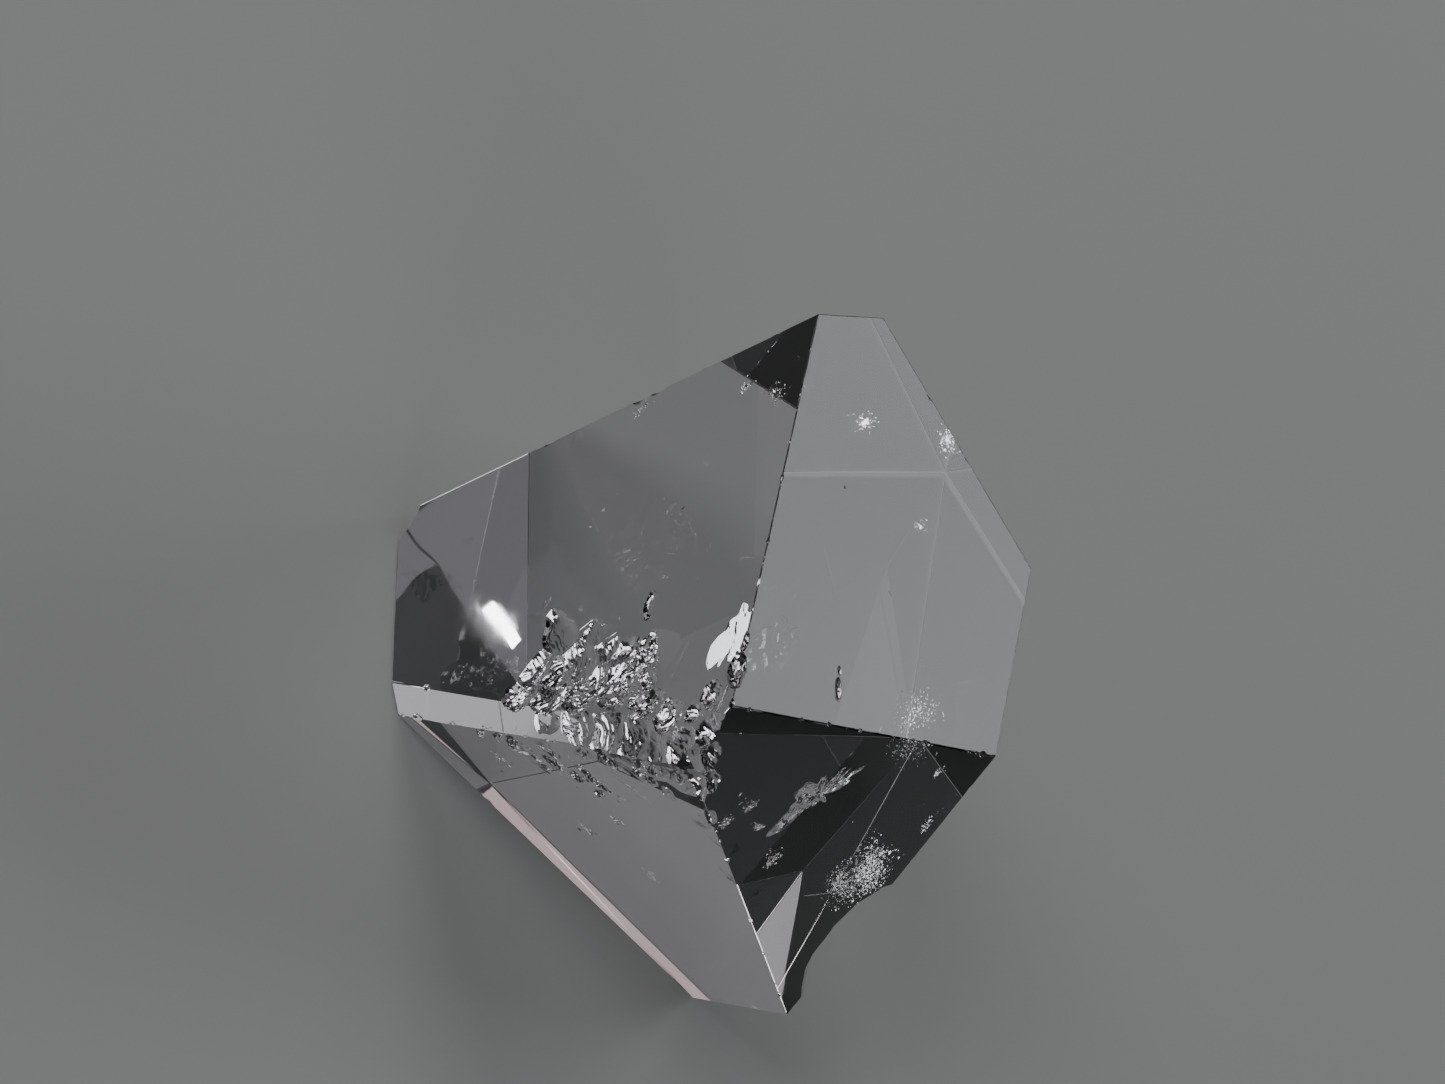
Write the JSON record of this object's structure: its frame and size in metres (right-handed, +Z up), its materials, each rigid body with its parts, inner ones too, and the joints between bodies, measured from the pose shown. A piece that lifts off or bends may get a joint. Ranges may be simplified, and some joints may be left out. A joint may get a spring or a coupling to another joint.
{
  "type": "spinel crystal",
  "caption": "Small gem-clear natural spinel crystal, a malformed octahedron with sharp flat faces, a narrow bevel, an etched blunt corner and a chipped lower edge, lying on one of its broad faces.",
  "frame": {"origin": "on the ground, below the middle of the crystal's bounding box", "axes": "+Z up, away from the broad face that the crystal lies on; +Y along the longest side of its box; -Y towards the blunt corner where four faces nearly meet"},
  "size_m": [0.0066, 0.008, 0.0058],
  "materials": {
    "clear_spinel": "gem-clear natural crystal, very pale greyish lilac, bright flat faces, refractive index 1.72"
  },
  "bodies": {
    "root": {"spinel_crystal": "clear_spinel"}
  },
  "joints": []
}
